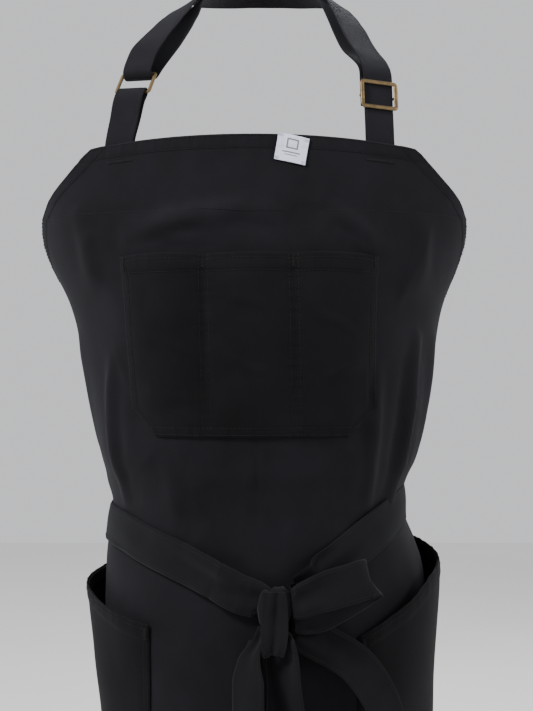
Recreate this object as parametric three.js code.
// Artist smock apron, worn on a body-shaped form. Millimetres, +Z up, -Y is the wearer's front.
// The origin is the middle of the neck loop, level with its highest point.
import * as THREE from "three";

// ---- driving dimensions ----
const APRON_LENGTH = 820; // bib edge to skirt hem
const BIB_TOP_Z = -152;
const BIB_SAG = 8.5; // corners of the bib edge hang lower than its middle
const BIB_HALF = 133; // half width of the bib edge
const SKIRT_HALF = 295; // half width of the skirt, cut flat
const CLOTH = 1.2; // twill
const GAP = 0.45; // between cloth layers
const HEM_GAP = 1.4; // hems folded behind the edges
const POCKET_TOP = 95;
const POCKET_BOTTOM = 235;
const POCKET_HALF = 102;
const POCKET_CUT = 22; // cut corners of the chest pocket
const DIVIDER = 34; // dividers of the chest pocket, from the middle
const POCKET_BULGE = 9.5;
const HIP_BULGE = 14.5;
const HIP_INNER = 84;
const HIP_OUTER = 232;
const HIP_BOTTOM = 580;
const STRAP_W = 24.8;
const STRAP_T = 1.6;
const TIE_W = 30;
const TIE_T = 1.4;
const HARDWARE_W = STRAP_W + 7.4; // the strap runs inside its window
const HARDWARE_H = 24.5;
const BAR_W = 3.3;

const root = new THREE.Group();
root.name = "artist_smock_apron";
const V3 = (x, y, z) => new THREE.Vector3(x, y, z);

// ---- materials ----
function twill(hex) {
  return new THREE.MeshStandardMaterial({ color: hex, roughness: 0.93, metalness: 0 });
}
function brass() {
  return new THREE.MeshStandardMaterial({ color: 0x7b6a50, roughness: 0.38, metalness: 1 });
}

// ---- body section ----
// height, side lean, half width, depth in front, depth behind
const STATIONS = [
  [-100, 0, 172, 96, 92],
  [-152, 0, 178, 104, 100],
  [-215, 0, 180, 120, 106],
  [-248, 0, 170, 129, 107],
  [-280, 2, 154, 131, 106],
  [-325, 3, 145, 128, 103],
  [-375, 3, 134, 122, 100],
  [-410, 2, 127, 117, 99],
  [-450, 2, 119, 114, 99],
  [-480, 6, 128, 120, 103],
  [-510, 9, 133, 123, 107],
  [-575, 10, 134, 124, 110],
  [-629, 12, 131, 124, 110],
  [-800, 12, 133, 126, 109],
  [-990, 12, 136, 128, 108],
];
const SQUARE = 2.2; // how square the section is, 2 for an ellipse
const STEPS = 180;

function stationAt(z) {
  let i = 0;
  while (i < STATIONS.length - 2 && STATIONS[i + 1][0] > z) {
    i += 1;
  }
  const a = STATIONS[Math.max(0, i - 1)];
  const b = STATIONS[i];
  const c = STATIONS[i + 1];
  const d = STATIONS[Math.min(STATIONS.length - 1, i + 2)];
  const h = c[0] - b[0];
  const t = Math.min(1, Math.max(0, (z - b[0]) / h));
  const out = [];
  for (let k = 1; k < 5; k += 1) {
    const m0 = a === b ? (c[k] - b[k]) / h : (c[k] - a[k]) / (c[0] - a[0]);
    const m1 = d === c ? (c[k] - b[k]) / h : (d[k] - b[k]) / (d[0] - b[0]);
    const t2 = t * t;
    const t3 = t2 * t;
    const p = (2 * t3 - 3 * t2 + 1) * b[k] + (3 * t2 - 2 * t3) * c[k];
    out.push(p + (t3 - 2 * t2 + t) * h * m0 + (t3 - t2) * h * m1);
  }
  return { x: out[0], a: out[1], front: out[2], back: out[3] };
}

function onSection(s, angle) {
  const e = 2 / SQUARE;
  const sn = Math.sin(angle);
  const cs = Math.cos(angle);
  const depth = cs > 0 ? s.front : s.back;
  const x = s.x + s.a * Math.sign(sn) * Math.pow(Math.abs(sn), e);
  return [x, -depth * Math.sign(cs) * Math.pow(Math.abs(cs), e)];
}

// arc length round the section from the middle of the front
const sections = new Map();
function sectionAt(z) {
  const key = z.toFixed(2);
  if (sections.has(key)) {
    return sections.get(key);
  }
  const s = stationAt(z);
  const arc = [0];
  let last = onSection(s, 0);
  for (let i = 1; i <= STEPS; i += 1) {
    const p = onSection(s, (Math.PI * i) / STEPS);
    arc.push(arc[i - 1] + Math.hypot(p[0] - last[0], p[1] - last[1]));
    last = p;
  }
  const entry = { s, arc, half: arc[STEPS] };
  sections.set(key, entry);
  return entry;
}

// a point at arc length u from the front middle, off millimetres outside the body
function bodyPoint(u, z, off) {
  const { s, arc, half } = sectionAt(z);
  let w = u % (2 * half);
  w = w > half ? w - 2 * half : w < -half ? w + 2 * half : w;
  const m = Math.abs(w);
  let i = 0;
  while (i < STEPS - 1 && arc[i + 1] < m) {
    i += 1;
  }
  const t = (m - arc[i]) / (arc[i + 1] - arc[i]);
  const angle = (Math.sign(w) || 1) * ((Math.PI * (i + t)) / STEPS);
  const p = onSection(s, angle);
  const q = onSection(s, angle + 0.02);
  const r = onSection(s, angle - 0.02);
  const len = Math.hypot(q[0] - r[0], q[1] - r[1]);
  return V3(p[0] + ((r[1] - q[1]) / len) * -off, p[1] + ((q[0] - r[0]) / len) * -off, z);
}

// ---- flat pattern: u across from the middle, v down from the bib edge ----
const EDGE = [
  [8.5, BIB_HALF],
  [29, 160],
  [47, 187],
  [60, 202],
  [80, 212],
  [110, 224],
  [150, 240],
  [200, 262],
  [250, 282],
  [300, SKIRT_HALF],
  [APRON_LENGTH, SKIRT_HALF],
];
const drop = (u, v) =>
  v + BIB_SAG * Math.min(1, (u / BIB_HALF) ** 2) * Math.max(0, 1 - v / 60);
function halfWidth(v) {
  const at = v + BIB_SAG * Math.max(0, 1 - v / 60);
  let i = 0;
  while (i < EDGE.length - 2 && EDGE[i + 1][0] < at) {
    i += 1;
  }
  const t = Math.min(1, Math.max(0, (at - EDGE[i][0]) / (EDGE[i + 1][0] - EDGE[i][0])));
  return EDGE[i][1] + (EDGE[i + 1][1] - EDGE[i][1]) * t;
}
// the garment's middle line keeps to x = -1 while the body leans
const shift = (v) => -1 - stationAt(BIB_TOP_Z - v).x;
function pattern(u, v, off) {
  const vv = drop(u, v);
  return bodyPoint(u + shift(vv), BIB_TOP_Z - vv, off);
}

const LINES = [0, 17, 34, 51, 68, 84, 102, 120];
const OUTER_COLS = 8;
function columnsAt(v) {
  const w = halfWidth(v);
  const right = LINES.slice();
  for (let k = 1; k <= OUTER_COLS; k += 1) {
    right.push(120 + ((w - 120) * k) / OUTER_COLS);
  }
  const left = right.slice(1).reverse().map((u) => -u);
  return left.concat(right);
}
const ROWS = [0, 14, 30, 45, 60, 77, 95, 112, 130, 148, 166, 190, 213, 235, 257, 278, 300];
const LOWER = [322, 345, 370, 395, 420, 455, 495, 540, 580, 625, 675, 725, 772, APRON_LENGTH];
const ALL_ROWS = ROWS.concat(LOWER);

// ---- closed bodies from a grid of points ----
function finish(name, points, faces, material) {
  let volume = 0;
  for (const [a, b, c] of faces) {
    volume += points[a].dot(V3(0, 0, 0).crossVectors(points[b], points[c]));
  }
  const flat = [];
  for (const [a, b, c] of faces) {
    const order = volume > 0 ? [a, b, c] : [a, c, b];
    for (const k of order) {
      flat.push(points[k].x, points[k].y, points[k].z);
    }
  }
  const g = new THREE.BufferGeometry();
  g.setAttribute("position", new THREE.Float32BufferAttribute(flat, 3));
  g.computeVertexNormals();
  const mesh = new THREE.Mesh(g, material);
  mesh.name = name;
  root.add(mesh);
  return mesh;
}

// at(i, j) gives [u, v]; outer and inner give the offset of each side from the body
function slab(name, rows, cols, at, inner, outer, material) {
  const points = [];
  const faces = [];
  for (const side of [inner, outer]) {
    for (let i = 0; i < rows; i += 1) {
      for (let j = 0; j < cols; j += 1) {
        const [u, v] = at(i, j);
        points.push(pattern(u, v, side(u, v)));
      }
    }
  }
  const n = rows * cols;
  const quad = (a, b, c, d) => {
    faces.push([a, b, c]);
    faces.push([a, c, d]);
  };
  for (let i = 0; i < rows - 1; i += 1) {
    for (let j = 0; j < cols - 1; j += 1) {
      const k = i * cols + j;
      const [a, b, c, d] = [k, k + 1, k + cols + 1, k + cols];
      // the diagonals of the left half mirror those of the right
      if (at(i, j)[0] + at(i, j + 1)[0] < 0) {
        faces.push([a, c, b], [a, d, c], [n + a, n + b, n + c], [n + a, n + c, n + d]);
      } else {
        faces.push([a, d, b], [b, d, c], [n + a, n + b, n + d], [n + b, n + c, n + d]);
      }
    }
  }
  for (let j = 0; j < cols - 1; j += 1) {
    quad(j, j + 1, n + j + 1, n + j);
    const k = (rows - 1) * cols + j;
    quad(k + 1, k, n + k, n + k + 1);
  }
  for (let i = 0; i < rows - 1; i += 1) {
    const k = i * cols;
    quad(k + cols, k, n + k, n + k + cols);
    const m = i * cols + cols - 1;
    quad(m, m + cols, n + m + cols, n + m);
  }
  return finish(name, points, faces, material);
}

// pattern lines between u0 and u1, with both ends exact
function between(v, u0, u1) {
  const inside = columnsAt(v).filter((u) => u > u0 + 1.5 && u < u1 - 1.5);
  return [u0, ...inside, u1];
}
function rowsBetween(v0, v1) {
  return [v0, ...ALL_ROWS.filter((v) => v > v0 + 1.5 && v < v1 - 1.5), v1];
}

// a profile swept along stations of { p, s, n }: point, width direction, face normal
function sweep(name, stations, profileAt, closed, material) {
  const points = [];
  const faces = [];
  const count = profileAt(0).length;
  stations.forEach((st, i) => {
    for (const [a, b] of profileAt(i / (stations.length - 1))) {
      points.push(st.p.clone().addScaledVector(st.s, a).addScaledVector(st.n, b));
    }
  });
  const rings = stations.length;
  const last = closed ? rings : rings - 1;
  for (let i = 0; i < last; i += 1) {
    for (let j = 0; j < count; j += 1) {
      const a = i * count + j;
      const b = i * count + ((j + 1) % count);
      const c = ((i + 1) % rings) * count + ((j + 1) % count);
      const d = ((i + 1) % rings) * count + j;
      faces.push([a, b, c]);
      faces.push([a, c, d]);
    }
  }
  if (!closed) {
    for (let j = 1; j < count - 1; j += 1) {
      faces.push([0, j + 1, j]);
      const k = (rings - 1) * count;
      faces.push([k, k + j, k + j + 1]);
    }
  }
  return finish(name, points, faces, material);
}
const strip = (w, t) => [
  [-w / 2, -t / 2],
  [w / 2, -t / 2],
  [w / 2, t / 2],
  [-w / 2, t / 2],
];
function round(rw, rt, sides) {
  const out = [];
  for (let i = 0; i < sides; i += 1) {
    const a = ((i + 0.5) * 2 * Math.PI) / sides;
    out.push([rw * Math.cos(a), rt * Math.sin(a)]);
  }
  return out;
}

// stations along a smooth path; each control is [point, width direction]
function along(controls, perSpan) {
  const path = new THREE.CatmullRomCurve3(controls.map((c) => c[0]), false, "centripetal");
  const hints = new THREE.CatmullRomCurve3(controls.map((c) => c[1]), false, "centripetal");
  const count = (controls.length - 1) * perSpan;
  const out = [];
  for (let i = 0; i <= count; i += 1) {
    const t = i / count;
    const tangent = path.getTangent(t);
    const s = hints.getPoint(t);
    s.addScaledVector(tangent, -s.dot(tangent)).normalize();
    out.push({ p: path.getPoint(t), s, n: V3(0, 0, 0).crossVectors(s, tangent).normalize() });
  }
  return out;
}

// ---- garment panel and its hems ----
const NCOL = columnsAt(0).length;
const flatOff = (d) => () => d;
slab("front_panel", ALL_ROWS.length, NCOL,
  (i, j) => [columnsAt(ALL_ROWS[i])[j], ALL_ROWS[i]],
  flatOff(0), flatOff(CLOTH), twill(0x1c1c1f));

const facingRows = rowsBetween(2, 60);
slab("bib_facing", facingRows.length, between(2, -116, 116).length,
  (i, j) => {
    const u = between(2, -116, 116)[j];
    const edge = halfWidth(facingRows[i]) - 14;
    return [(u * edge) / 116, facingRows[i]];
  },
  flatOff(-GAP - 0.8 - 0.25), flatOff(-GAP - 0.25), twill(0x1c1c1f));

function edgeHem(name, sign, v0, v1) {
  const rows = rowsBetween(v0, v1);
  slab(name, rows.length, 2,
    (i, j) => [sign * (halfWidth(rows[i]) - (j === 0 ? 11 : 0.6)), rows[i]],
    flatOff(-HEM_GAP - 0.8), flatOff(-HEM_GAP), twill(0x1a1a1d));
}
edgeHem("armhole_hem_left", -1, 2, 282);
edgeHem("armhole_hem_right", 1, 2, 282);
edgeHem("side_hem_left", -1, 284, APRON_LENGTH - 1);
edgeHem("side_hem_right", 1, 284, APRON_LENGTH - 1);
const hemCols = between(APRON_LENGTH, -SKIRT_HALF + 13, SKIRT_HALF - 13);
slab("bottom_hem", 2, hemCols.length,
  (i, j) => [hemCols[j], i === 0 ? APRON_LENGTH - 13 : APRON_LENGTH - 1],
  flatOff(-HEM_GAP - 0.8), flatOff(-HEM_GAP), twill(0x1a1a1d));

// ---- chest pocket in three compartments ----
const pocketSpan = POCKET_BOTTOM - POCKET_TOP;
const pocketDown = (v) => (v - POCKET_TOP) / pocketSpan;
const pocketMiddle = (v) => -3 + 3 * pocketDown(v);
function pocketHalf(v) {
  const full = POCKET_HALF - 4 * pocketDown(v);
  return v > POCKET_BOTTOM - POCKET_CUT ? full - (v - (POCKET_BOTTOM - POCKET_CUT)) : full;
}
function chestGap(u, v) {
  const x = u - pocketMiddle(v);
  const half = pocketHalf(v);
  const part = Math.abs(x) < DIVIDER ? (x + DIVIDER) / (2 * DIVIDER)
    : (Math.abs(x) - DIVIDER) / Math.max(1, half - DIVIDER);
  const across = Math.sin(Math.PI * Math.min(1, Math.max(0, part)));
  const down = Math.min(1, Math.max(0, 1 - pocketDown(v) ** 4));
  return GAP + POCKET_BULGE * Math.pow(across, 0.8) * down;
}
const POCKET_X = [-1, -0.9, -0.72, -0.52, -0.36];
const POCKET_IN = [-0.88, -0.6, -0.3, 0];
function pocketLines(v) {
  const half = pocketHalf(v);
  const mid = pocketMiddle(v);
  const outer = [0, 0.12, 0.34, 0.6, 0.86].map((t) => -half + (half - DIVIDER) * t);
  const left = [...outer, -DIVIDER, ...POCKET_IN.slice(0, 3).map((t) => t * DIVIDER)];
  const right = left.slice().reverse().map((u) => -u);
  return [...left, 0, ...right].map((u) => u + mid);
}
const pocketRows = [95, 103, 112, 122, 134, 148, 166, 190, 213, 224, POCKET_BOTTOM];
slab("chest_pocket", pocketRows.length, pocketLines(100).length,
  (i, j) => [pocketLines(pocketRows[i])[j], pocketRows[i]],
  (u, v) => CLOTH + 0.35 + chestGap(u, v),
  (u, v) => 2 * CLOTH + 0.35 + chestGap(u, v), twill(0x18161a));

// folded hem inside the mouth of each compartment
function mouthHem(name, from, to) {
  const rows = [97, 103, 109];
  const cols = [0, 0.25, 0.5, 0.75, 1];
  slab(name, rows.length, cols.length,
    (i, j) => [pocketMiddle(rows[i]) + from + (to - from) * cols[j], rows[i]],
    (u, v) => CLOTH + 0.35 + chestGap(u, v) - 1.9,
    (u, v) => CLOTH + 0.35 + chestGap(u, v) - 1.1, twill(0x18161a));
}
mouthHem("chest_pocket_hem_left", -POCKET_HALF + 11, -DIVIDER - 9);
mouthHem("chest_pocket_hem_middle", -DIVIDER + 9, DIVIDER - 9);
mouthHem("chest_pocket_hem_right", DIVIDER + 9, POCKET_HALF - 11);

// ---- hip pockets, mouth slanting up to the side ----
// mouth height at the inner corner, part way, and at the side seam
function hipPocket(side, sign, mouth) {
  const cols = between(500, HIP_INNER, HIP_OUTER);
  const top = (u) => {
    const t = (u - HIP_INNER) / (HIP_OUTER - HIP_INNER);
    return t < 0.45 ? mouth[0] + ((mouth[1] - mouth[0]) * t) / 0.45
      : mouth[1] + ((mouth[2] - mouth[1]) * (t - 0.45)) / 0.55;
  };
  const downs = [0, 0.05, 0.12, 0.22, 0.36, 0.52, 0.7, 0.86, 1];
  const gap = (u, v) => {
    const t = Math.min(1, Math.max(0, (Math.abs(u) - HIP_INNER) / (HIP_OUTER - HIP_INNER)));
    const d = Math.min(1, Math.max(0, (v - top(Math.abs(u))) / (HIP_BOTTOM - top(Math.abs(u)))));
    return GAP + HIP_BULGE * Math.pow(Math.sin(Math.PI * t), 0.8) * (1 - d) ** 1.2;
  };
  const at = (i, j) => {
    const u = cols[j];
    return [sign * u, top(u) + (HIP_BOTTOM - top(u)) * downs[i]];
  };
  slab(`hip_pocket_${side}`, downs.length, cols.length, at,
    (u, v) => CLOTH + 0.35 + gap(u, v),
    (u, v) => 2 * CLOTH + 0.35 + gap(u, v), twill(0x19191c));
  const inner = cols.filter((u) => u > HIP_INNER + 16 && u < HIP_OUTER - 16);
  slab(`hip_pocket_hem_${side}`, 3, inner.length,
    (i, j) => [sign * inner[j], top(inner[j]) + 2 + 7 * i],
    (u, v) => CLOTH + 0.35 + gap(u, v) - 1.5,
    (u, v) => CLOTH + 0.35 + gap(u, v) - 0.7, twill(0x19191c));
  return { top, gap };
}
const hipLeft = hipPocket("left", -1, [384, 368, 352]);
const hipRight = hipPocket("right", 1, [390, 352, 330]);

// ---- bartacks: short bars of dense stitching ----
function bartack(name, u, v, w, h, off) {
  slab(name, 2, 2,
    (i, j) => [u + (j - 0.5) * w, v + (i - 0.5) * h],
    (a, b) => off(a, b) + 0.4, (a, b) => off(a, b) + 1.1, twill(0x0c0c0e));
}
const onPocket = (u, v) => 2 * CLOTH + 0.35 + chestGap(u, v);
[-POCKET_HALF + 4, -DIVIDER, DIVIDER, POCKET_HALF - 4].forEach((u, i) => {
  bartack(`bartack_chest_${i + 1}`, u + pocketMiddle(101), 101, 2, 8.5, onPocket);
});
const onHip = (pocket) => (u, v) => 2 * CLOTH + 0.35 + pocket.gap(u, v);
bartack("bartack_hip_left", -HIP_INNER - 2.5, 391, 2, 8.5, onHip(hipLeft));
bartack("bartack_hip_right", HIP_INNER + 2.5, 397, 2, 8.5, onHip(hipRight));
bartack("bartack_strap_left", -106, 16, 22, 2, () => CLOTH);
bartack("bartack_strap_right", 101, 16, 22, 2, () => CLOTH);

// ---- woven label sewn over the bib edge ----
function labelSide(off) {
  return (i, j) => {
    const t = [-1, -0.33, 0.33, 1][j] * 12;
    const d = [1.5, 9, 16, 23][i];
    return pattern(30.5 + t - d * 0.16, d + t * 0.2, off);
  };
}
{
  const points = [];
  const faces = [];
  for (const off of [CLOTH + 0.35, CLOTH + 0.85]) {
    for (let i = 0; i < 4; i += 1) {
      for (let j = 0; j < 4; j += 1) {
        points.push(labelSide(off)(i, j));
      }
    }
  }
  for (let i = 0; i < 3; i += 1) {
    for (let j = 0; j < 3; j += 1) {
      const k = i * 4 + j;
      faces.push([k, k + 5, k + 1], [k, k + 4, k + 5]);
      faces.push([16 + k, 16 + k + 1, 16 + k + 5], [16 + k, 16 + k + 5, 16 + k + 4]);
    }
  }
  const rim = [0, 1, 2, 3, 7, 11, 15, 14, 13, 12, 8, 4];
  rim.forEach((a, i) => {
    const b = rim[(i + 1) % rim.length];
    faces.push([a, b, 16 + b], [a, 16 + b, 16 + a]);
  });
  const white = new THREE.MeshStandardMaterial({ color: 0xcbcee1, roughness: 0.8, metalness: 0 });
  finish("label", points, faces, white);
}

// ---- neck strap, ring and slider ----
// right side of the strap runs straight from inside the bib through the slider
const SLIDE_AT = V3(99.5, -76.3, -117);
const SLIDE_DIR = V3(-0.02, 0.24, 0.97).normalize();
const SLIDE_SIDE = V3(0.945, 0.31, -0.1);
SLIDE_SIDE.addScaledVector(SLIDE_DIR, -SLIDE_SIDE.dot(SLIDE_DIR)).normalize();
const SLIDE_N = V3(0, 0, 0).crossVectors(SLIDE_SIDE, SLIDE_DIR).normalize();
const slidePoint = (s, d, n) =>
  SLIDE_AT.clone().addScaledVector(SLIDE_SIDE, s).addScaledVector(SLIDE_DIR, d)
    .addScaledVector(SLIDE_N, n);

// the ring's lower bar is held by the stub, its upper bar by the turn of the strap
const RING_LOW = V3(-98.3, -68, -112.5);
const RING_DIR = V3(0.2186, 0.5663, 0.7948).normalize();
const RING_SIDE = V3(1, -0.3, 0.05);
RING_SIDE.addScaledVector(RING_DIR, -RING_SIDE.dot(RING_DIR)).normalize();
const RING_N = V3(0, 0, 0).crossVectors(RING_SIDE, RING_DIR).normalize();
const RING_RISE = HARDWARE_H - BAR_W;
const ringPoint = (s, d, n) =>
  RING_LOW.clone().addScaledVector(RING_SIDE, s).addScaledVector(RING_DIR, d)
    .addScaledVector(RING_N, n);

const OUT = V3(1, 0, 0);
const TURN = 5.8; // radius of the turn round the ring, at the middle of the webbing
const turnAt = RING_RISE + 1.5;
const ls = RING_SIDE.clone().negate();
const STRAP_CLEAR = (24.8 - STRAP_W) * 0.16; // a wider strap keeps off the facing
const neckControls = [
  [slidePoint(0, -68, STRAP_CLEAR), SLIDE_SIDE],
  [slidePoint(0, -45, STRAP_CLEAR / 2), SLIDE_SIDE],
  [slidePoint(0, -20, 0), SLIDE_SIDE],
  [slidePoint(0, 4, 0), SLIDE_SIDE],
  [slidePoint(0, 20, 0), SLIDE_SIDE],
  [V3(96.5, -64.5, -87), V3(0.95, 0.3, -0.15)],
  [V3(88.5, -50, -71), V3(0.93, 0.2, -0.3)],
  [V3(79.5, -24, -46), V3(0.9, 0, -0.45)],
  [V3(71, 6, -24), V3(0.85, 0.1, -0.5)],
  [V3(60, 34, -9), V3(0.75, 0.4, -0.55)],
  [V3(40, 56, -2), V3(0.45, 0.7, -0.6)],
  [V3(7, 66, 1), V3(0, 0.82, -0.58)],
  [V3(-27, 56, -2), V3(-0.45, 0.7, -0.6)],
  [V3(-47, 34, -9), V3(-0.75, 0.4, -0.55)],
  [V3(-57.5, 8, -22), V3(-0.85, 0.1, -0.5)],
  [V3(-67, -12, -36.5), V3(-0.9, 0, -0.42)],
  [V3(-79, -34, -56), V3(-0.95, 0.1, -0.3)],
  [V3(-89, -49.5, -73), ls],
  [ringPoint(0, turnAt + 9, TURN + 0.6), ls],
  [ringPoint(0, turnAt + 0.5, TURN), ls],
  [ringPoint(0, turnAt - 3.9, TURN * 0.72), ls],
  [ringPoint(0, turnAt - TURN, 0), ls],
  [ringPoint(0, turnAt - 3.9, -TURN * 0.72), ls],
  [ringPoint(0, turnAt + 0.8, -TURN), ls],
  [V3(-86.5, -46.5, -88.5), V3(-0.95, 0.2, -0.1)],
  [V3(-77.5, -38.5, -76), V3(-0.93, 0.1, -0.3)],
  [V3(-67.5, -24, -58.5), V3(-0.88, 0, -0.42)],
  [V3(-60, -8, -42), V3(-0.85, 0, -0.5)],
  [V3(-54, 7, -27), V3(-0.82, 0.1, -0.55)],
  [V3(-43.5, 30.5, -12.5), V3(-0.75, 0.4, -0.55)],
  [V3(-24.5, 51.5, -6), V3(-0.45, 0.7, -0.6)],
  [V3(7, 60.5, -3), V3(0, 0.82, -0.58)],
  [V3(37.5, 51.5, -6), V3(0.45, 0.7, -0.6)],
  [V3(56, 30.5, -13), V3(0.75, 0.4, -0.55)],
  [V3(66.5, 4.5, -28.5), V3(0.85, 0.1, -0.5)],
  [V3(75, -21, -50), V3(0.9, 0, -0.4)],
  [V3(85, -44, -77), V3(0.93, 0.2, -0.25)],
  [slidePoint(-1, 27, -7.2), SLIDE_SIDE],
  [slidePoint(0, 16, -7), SLIDE_SIDE],
  [slidePoint(0, 5, -7), SLIDE_SIDE],
  [slidePoint(0, -7, -7), SLIDE_SIDE],
];
sweep("neck_strap", along(neckControls, 3), () => strip(STRAP_W, STRAP_T), false, twill(0x252429));

const STUB_TURN = 2.9;
const BIB_LEFT = V3(-1, 0.385, -0.05);
const stubControls = [
  [V3(-108.2, -86.6 - STRAP_CLEAR, -182), BIB_LEFT],
  [V3(-106.6, -80.4 - STRAP_CLEAR, -157), BIB_LEFT],
  [V3(-102.4, -74, -135), ls],
  [ringPoint(0, -9, -STUB_TURN), ls],
  [ringPoint(0, -0.5, -STUB_TURN), ls],
  [ringPoint(0, 2.05, -2.05), ls],
  [ringPoint(0, STUB_TURN, 0), ls],
  [ringPoint(0, 2.05, 2.05), ls],
  [ringPoint(0, -0.5, STUB_TURN), ls],
  [ringPoint(0, -9, STUB_TURN), ls],
  [V3(-103.8, -77.6, -134), ls],
  [V3(-107.6, -82.9 - STRAP_CLEAR, -157), BIB_LEFT],
  [V3(-109, -88.7 - STRAP_CLEAR, -182), BIB_LEFT],
];
sweep("strap_stub", along(stubControls, 3), () => strip(STRAP_W, STRAP_T), false, twill(0x252429));

function rounded(w, h, r, n) {
  const out = [];
  const corners = [[1, 1, 0], [-1, 1, 1], [-1, -1, 2], [1, -1, 3]];
  for (const [sx, sy, q] of corners) {
    for (let i = 0; i <= n; i += 1) {
      const a = ((q + i / n) * Math.PI) / 2;
      const x = sx * (w / 2 - r) + r * Math.cos(a);
      const y = sy * (h / 2 - r) + r * Math.sin(a);
      out.push([x, y, Math.cos(a), Math.sin(a)]);
    }
  }
  return out;
}
const loopPath = rounded(HARDWARE_W - BAR_W, HARDWARE_H - BAR_W, 2, 3);
sweep("ring", loopPath.map(([x, y, nx, ny]) => ({
  p: ringPoint(x, y + RING_RISE / 2, 0),
  s: RING_SIDE.clone().multiplyScalar(nx).addScaledVector(RING_DIR, ny),
  n: RING_N,
})), () => round(BAR_W / 2, 1.25, 8), true, brass());
sweep("slider_frame", loopPath.map(([x, y, nx, ny]) => ({
  p: slidePoint(x, y, 2.3),
  s: SLIDE_SIDE.clone().multiplyScalar(nx).addScaledVector(SLIDE_DIR, ny),
  n: SLIDE_N,
})), () => round(BAR_W / 2, 1.15, 8), true, brass());
// cross bar behind the webbing, its ends bent forward to the frame
const REACH = (HARDWARE_W - BAR_W - 0.1) / 2;
const staple = [
  [REACH, 0.85], [REACH, -0.6], [REACH, -2.2], [REACH - 0.5, -3.1], [REACH - 1.6, -3.4],
  [6, -3.4], [0, -3.4], [-6, -3.4],
  [-REACH + 1.6, -3.4], [-REACH + 0.5, -3.1], [-REACH, -2.2], [-REACH, -0.6], [-REACH, 0.85],
];
sweep("slider_bar", along(staple.map(([s, n]) => [slidePoint(s, 0, n), SLIDE_DIR]), 1),
  () => round(1, 1, 8), false, brass());
const tab = [
  [17, -5.2], [10, -5.2], [3, -5.2], [0, -5.2], [-1.3, -4.7], [-1.8, -3.4], [-1.3, -2.1],
  [0, -1.6], [3, -1.6], [8, -1.6], [14, -1.6],
];
sweep("strap_end_tab", along(tab.map(([d, n]) => [slidePoint(0, d, n), SLIDE_SIDE]), 2),
  () => strip(STRAP_W - 0.4, 1), false, twill(0x252429));

// ---- waist ties: sewn at the side edges, crossed behind, tied in front ----
// the sizes that the paths of the strap and ties were drawn for; other sizes stand off from them
const DRAWN = { skirtHalf: 295, tieWidth: 30 };
const TIE_CLEAR = (TIE_W - DRAWN.tieWidth) * 0.5 + (SKIRT_HALF - DRAWN.skirtHalf) * 0.025;
function bodyControl(u, z, off) {
  const far = off + TIE_CLEAR;
  const side = bodyPoint(u, z + 15, far).sub(bodyPoint(u, z - 15, far));
  return [bodyPoint(u, z, far), side];
}
// a tie's place behind the panel's edge keeps its share of what the panel leaves open there,
// and its place on the panel keeps its share of the panel
const HALF_WAIST = sectionAt(-440).half;
const OPEN = (HALF_WAIST - SKIRT_HALF) / (HALF_WAIST - DRAWN.skirtHalf);
const behind = (d) => SKIRT_HALF + d * OPEN;
const wide = (u) => (u * SKIRT_HALF) / DRAWN.skirtHalf;
const TIE_UP = V3(0, 0, 1);
const tieLeft = [
  bodyControl(-SKIRT_HALF + 16, -424, 3),
  bodyControl(-SKIRT_HALF - 2, -424, 4),
  bodyControl(-behind(22), -426, 6),
  bodyControl(-behind(50), -431, 6.2),
  bodyControl(behind(48), -438, 6),
  bodyControl(SKIRT_HALF + 12, -443, 7.4),
  bodyControl(SKIRT_HALF - 25, -444, 7.2),
  bodyControl(wide(225), -445, 5.8),
  bodyControl(wide(180), -446, 6.4),
  bodyControl(wide(145), -450, 6.6),
  bodyControl(115, -457, 6),
  bodyControl(90, -467, 5),
  bodyControl(66, -480, 5),
  [V3(48, -127.8, -496), V3(0.2, -0.2, 1)],
  [V3(37, -130.6, -507.4), TIE_UP],
  [V3(29.6, -131.2, -509), TIE_UP],
];
const tieRight = [
  bodyControl(SKIRT_HALF - 16, -424, 3),
  bodyControl(SKIRT_HALF + 2, -426, 2.9),
  bodyControl(behind(24), -431, 2.6),
  bodyControl(behind(50), -437, 2.4),
  bodyControl(-behind(48), -448, 2.6),
  bodyControl(-SKIRT_HALF - 12, -458, 3.2),
  bodyControl(-SKIRT_HALF + 20, -461, 4.6),
  bodyControl(-wide(225), -463, 5.2),
  bodyControl(-wide(180), -463, 5.4),
  bodyControl(-wide(145), -464, 5.2),
  bodyControl(-115, -468, 5),
  bodyControl(-88, -476, 5),
  bodyControl(-60, -486, 5),
  [V3(-28, -128.4, -498), V3(-0.1, -0.1, 1)],
  [V3(-12, -131, -506.5), TIE_UP],
  [V3(-3, -131.8, -509.3), TIE_UP],
  [V3(3.4, -132, -509.5), TIE_UP],
];
const gathered = (full, end, t) => full - (full - end) * Math.max(0, (t - 0.9) / 0.1);
sweep("waist_tie_left", along(tieLeft, 4),
  (t) => strip(gathered(TIE_W, 18, t), TIE_T), false, twill(0x1b1b1d));
sweep("waist_tie_right", along(tieRight, 4),
  (t) => strip(gathered(TIE_W, 20, t), TIE_T), false, twill(0x1b1b1d));
bartack("bartack_tie_left", -SKIRT_HALF + 28, 272, 2, 24, () => CLOTH + 0.4);
bartack("bartack_tie_right", SKIRT_HALF - 28, 272, 2, 24, () => CLOTH + 0.4);

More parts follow.
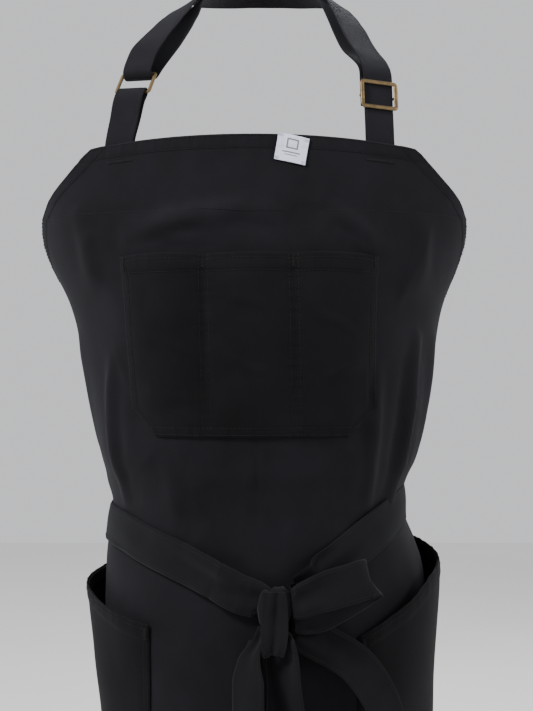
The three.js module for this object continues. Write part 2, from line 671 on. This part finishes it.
// ---- knot, loops and hanging ends ----
const knotSection = () => [
  [-14, -3], [-10, -6], [10, -6], [14, -3], [14, 3], [10, 6], [-10, 6], [-14, 3],
];
sweep("knot", [4.4, 8, 12, 16.5, 21, 25, 28.4].map((x) => ({
  p: V3(x, -136, -516), s: V3(0, 0, 1), n: V3(0, 1, 0),
})), knotSection, false, twill(0x202023));
sweep("knot_wrap", along([
  [V3(16, -143.1, -503.5), OUT], [V3(16, -143.4, -510), OUT], [V3(16, -143.9, -518), OUT],
  [V3(16, -145.8, -526), OUT], [V3(16, -149.6, -535), OUT], [V3(16, -150.4, -543.5), OUT],
], 3), () => strip(18, TIE_T), false, twill(0x232326));

const fold = (t, a, b, c) => (t < 0.25 ? a + (b - a) * (t / 0.25)
  : t > 0.8 ? b + (c - b) * ((t - 0.8) / 0.2) : b);
const UP = (x, y) => V3(x, y, 1);
sweep("bow_loop_right", along([
  [V3(29.3, -140.8, -512.4), UP(0, 0)], [V3(33.5, -142, -512), UP(-0.05, 0)],
  [V3(44, -144.2, -507), UP(-0.3, 0)],
  [V3(58, -142.3, -502), UP(-0.3, 0)], [V3(74, -136.4, -498.5), UP(-0.35, 0)],
  [V3(85, -129.5, -496.2), UP(-0.4, 0)], [V3(89.2, -124.6, -497), UP(-0.42, 0)],
  [V3(86.6, -121.6, -501), UP(-0.45, 0)], [V3(75, -125.6, -508), UP(-0.4, 0)],
  [V3(59, -132, -516), UP(-0.3, 0)], [V3(45, -136.2, -522), UP(-0.15, 0)],
  [V3(36.5, -137.1, -524.6), UP(0, 0)], [V3(31, -137.4, -525), UP(0, 0)],
], 3), (t) => strip(fold(t, 22, 31, 20), TIE_T), false, twill(0x202023));

const LOOP_SIDE = V3(0.85, -0.53, 0);
sweep("bow_loop_left", along([
  [V3(7.5, -137.5, -530.9), LOOP_SIDE], [V3(4, -143, -541), LOOP_SIDE],
  [V3(-2.5, -147.5, -553), LOOP_SIDE], [V3(-4, -150, -575), LOOP_SIDE],
  [V3(-3, -150, -610), LOOP_SIDE], [V3(-1.6, -149, -640), LOOP_SIDE],
  [V3(-1, -145.6, -657), LOOP_SIDE], [V3(-1, -140.4, -655), LOOP_SIDE],
  [V3(-1.2, -138, -630), LOOP_SIDE], [V3(-1.4, -137.4, -590), LOOP_SIDE],
  [V3(0, -137, -560), LOOP_SIDE], [V3(3, -136.6, -543), LOOP_SIDE],
], 3), (t) => strip(t < 0.25 ? 9 + 76 * t * t * 4 : t > 0.85 ? 28 - 80 * (t - 0.85) : 28, TIE_T),
false, twill(0x202023));

const END_SIDE = V3(0.8, -0.6, 0);
sweep("tie_end_centre", along([
  [V3(19, -137.5, -530.7), OUT], [V3(19.2, -138.4, -533.6), OUT],
  [V3(20.8, -142, -541), END_SIDE],
  [V3(23.6, -144.5, -553), END_SIDE], [V3(25.5, -145, -575), END_SIDE],
  [V3(28.5, -143.4, -602), END_SIDE], [V3(31, -140.8, -640), END_SIDE],
  [V3(32.5, -139.2, -690), END_SIDE], [V3(33, -138.6, -735), END_SIDE],
], 3), (t) => strip(t < 0.28 ? 9 + 235 * t * t : 27.4, TIE_T), false, twill(0x202023));

sweep("tie_end_right", along([
  [V3(29.2, -134.3, -533), UP(0, 0)], [V3(33.5, -133.9, -533.1), UP(0, 0)],
  [V3(46, -131.3, -541), UP(0.35, 0)],
  [V3(60, -128, -549), V3(0.6, 0, 1)], [V3(77, -126.6, -560), V3(0.8, 0.15, 0.8)],
  [V3(91, -127.2, -577), V3(0.85, 0.3, 0.45)], [V3(101, -127.6, -598), V3(0.9, 0.4, 0.2)],
  [V3(107, -127.6, -632), V3(0.9, 0.43, 0)], [V3(110, -127.2, -690), V3(0.9, 0.43, 0)],
  [V3(111, -126.6, -745), V3(0.9, 0.43, 0)],
], 3), (t) => strip(t < 0.2 ? 17 + 65 * t : 30, TIE_T), false, twill(0x202023));

export default root;
